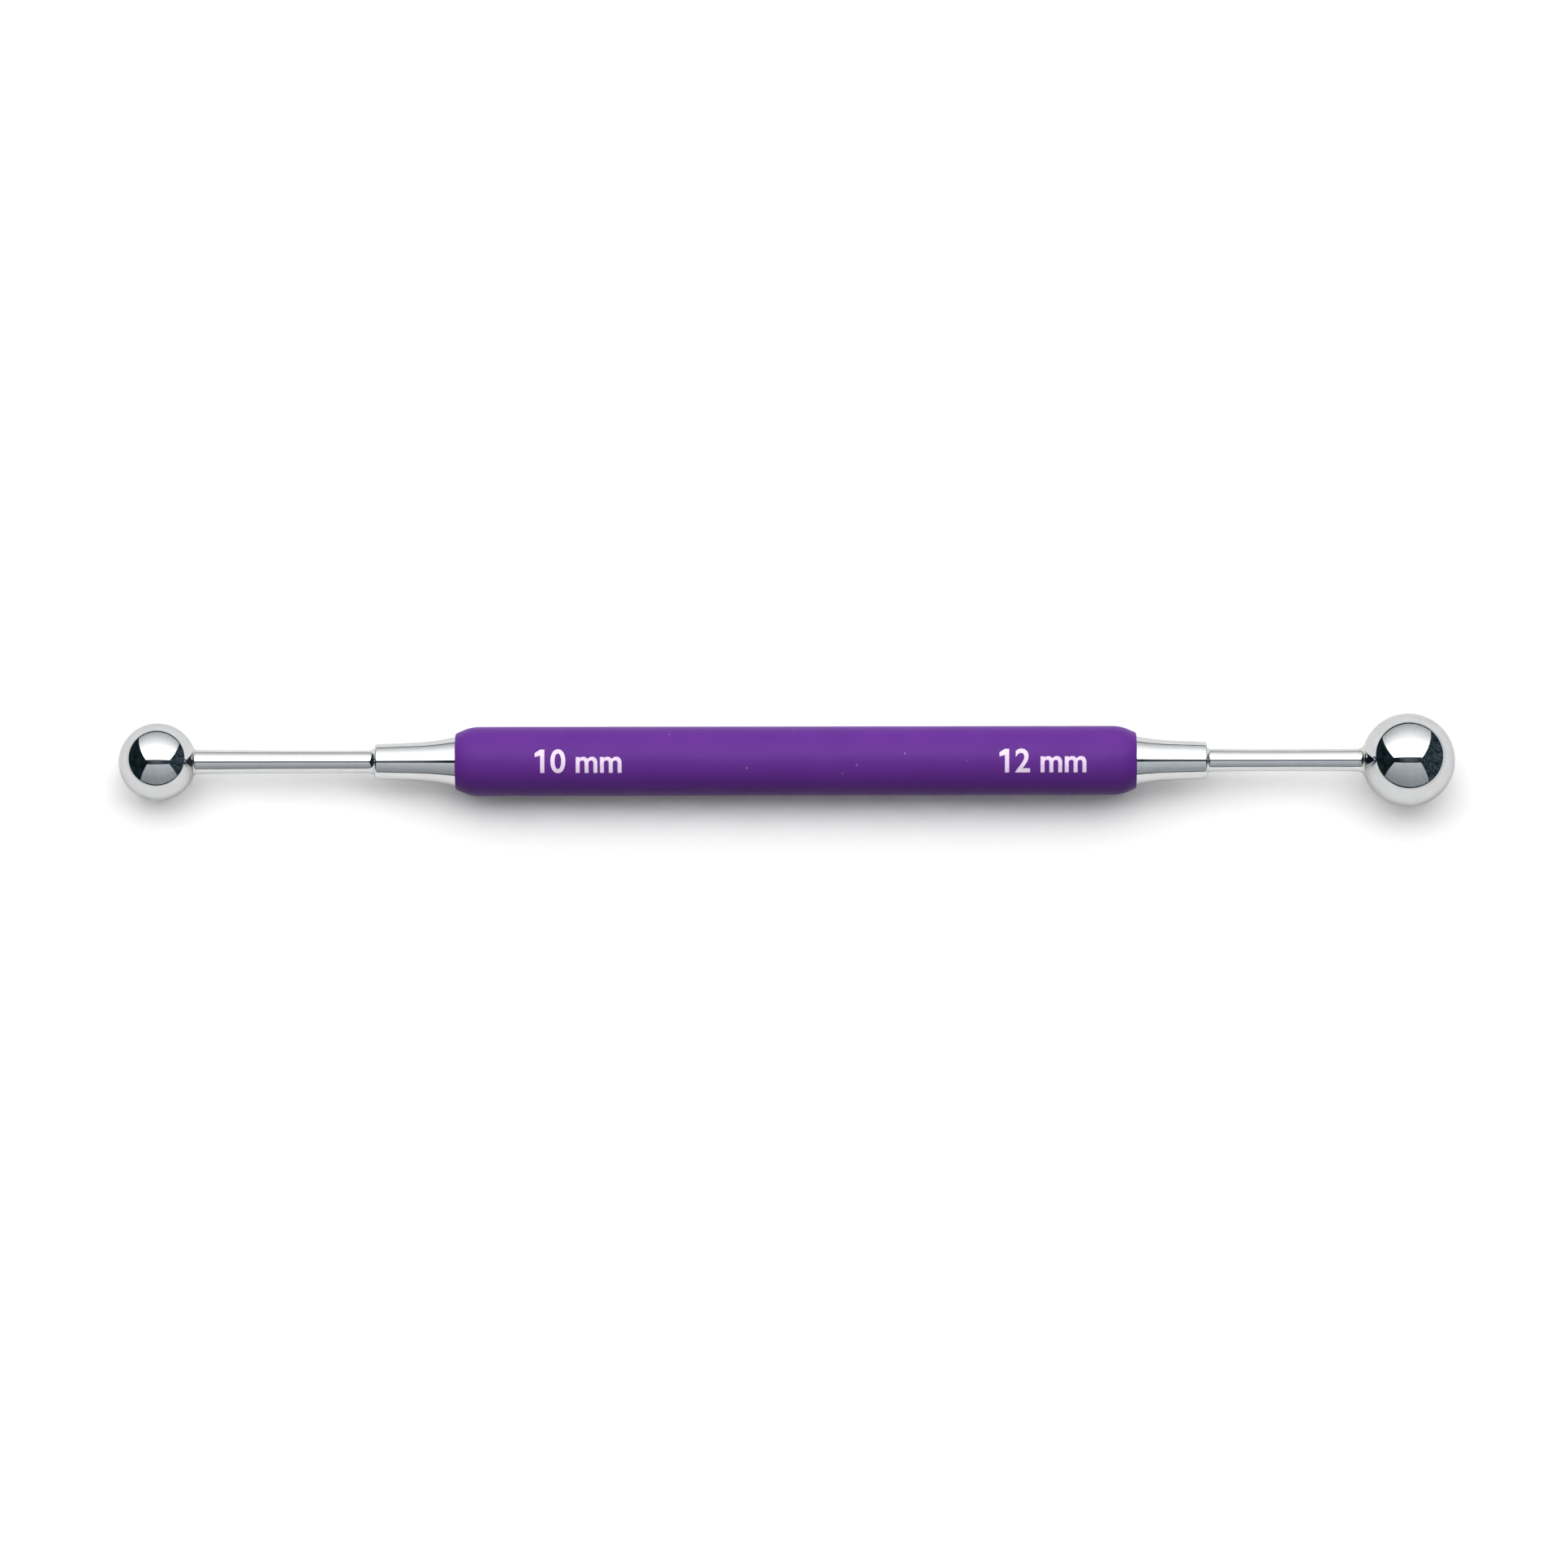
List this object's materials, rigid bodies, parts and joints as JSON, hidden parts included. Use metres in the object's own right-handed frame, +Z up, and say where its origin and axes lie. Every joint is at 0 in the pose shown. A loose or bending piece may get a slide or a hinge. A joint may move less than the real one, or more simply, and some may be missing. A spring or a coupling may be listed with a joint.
{
  "type": "embossing stylus",
  "caption": "Slim double-ended embossing stylus: soft straight grip, turned ferrules, waisted shanks and a polished ball brazed on each end, one ball larger than the other.",
  "frame": {"origin": "on the tool's axis, at the middle of the straight grip", "axes": "+X along the tool towards the large ball, -X towards the small ball, +Z up with the tool lying on its side"},
  "size_m": [0.1715, 0.012, 0.012],
  "materials": {
    "grip_rubber": "matt soft-touch purple",
    "core_aluminium": "drawn tube, unpolished",
    "ferrule_chrome": "bright plated, turned",
    "shank_steel": "polished steel with faint turning lines",
    "braze_silver": "bright silver braze, slightly uneven",
    "ball_steel": "mirror polished bearing ball"
  },
  "bodies": {
    "root": {"grip_sleeve": "grip_rubber", "handle_core_tube": "core_aluminium", "small_end_ferrule": "ferrule_chrome", "large_end_ferrule": "ferrule_chrome", "small_ball_shank": "shank_steel", "large_ball_shank": "shank_steel", "small_ball_braze_ring": "braze_silver", "large_ball_braze_ring": "braze_silver", "small_ball": "ball_steel", "large_ball": "ball_steel"}
  },
  "joints": []
}
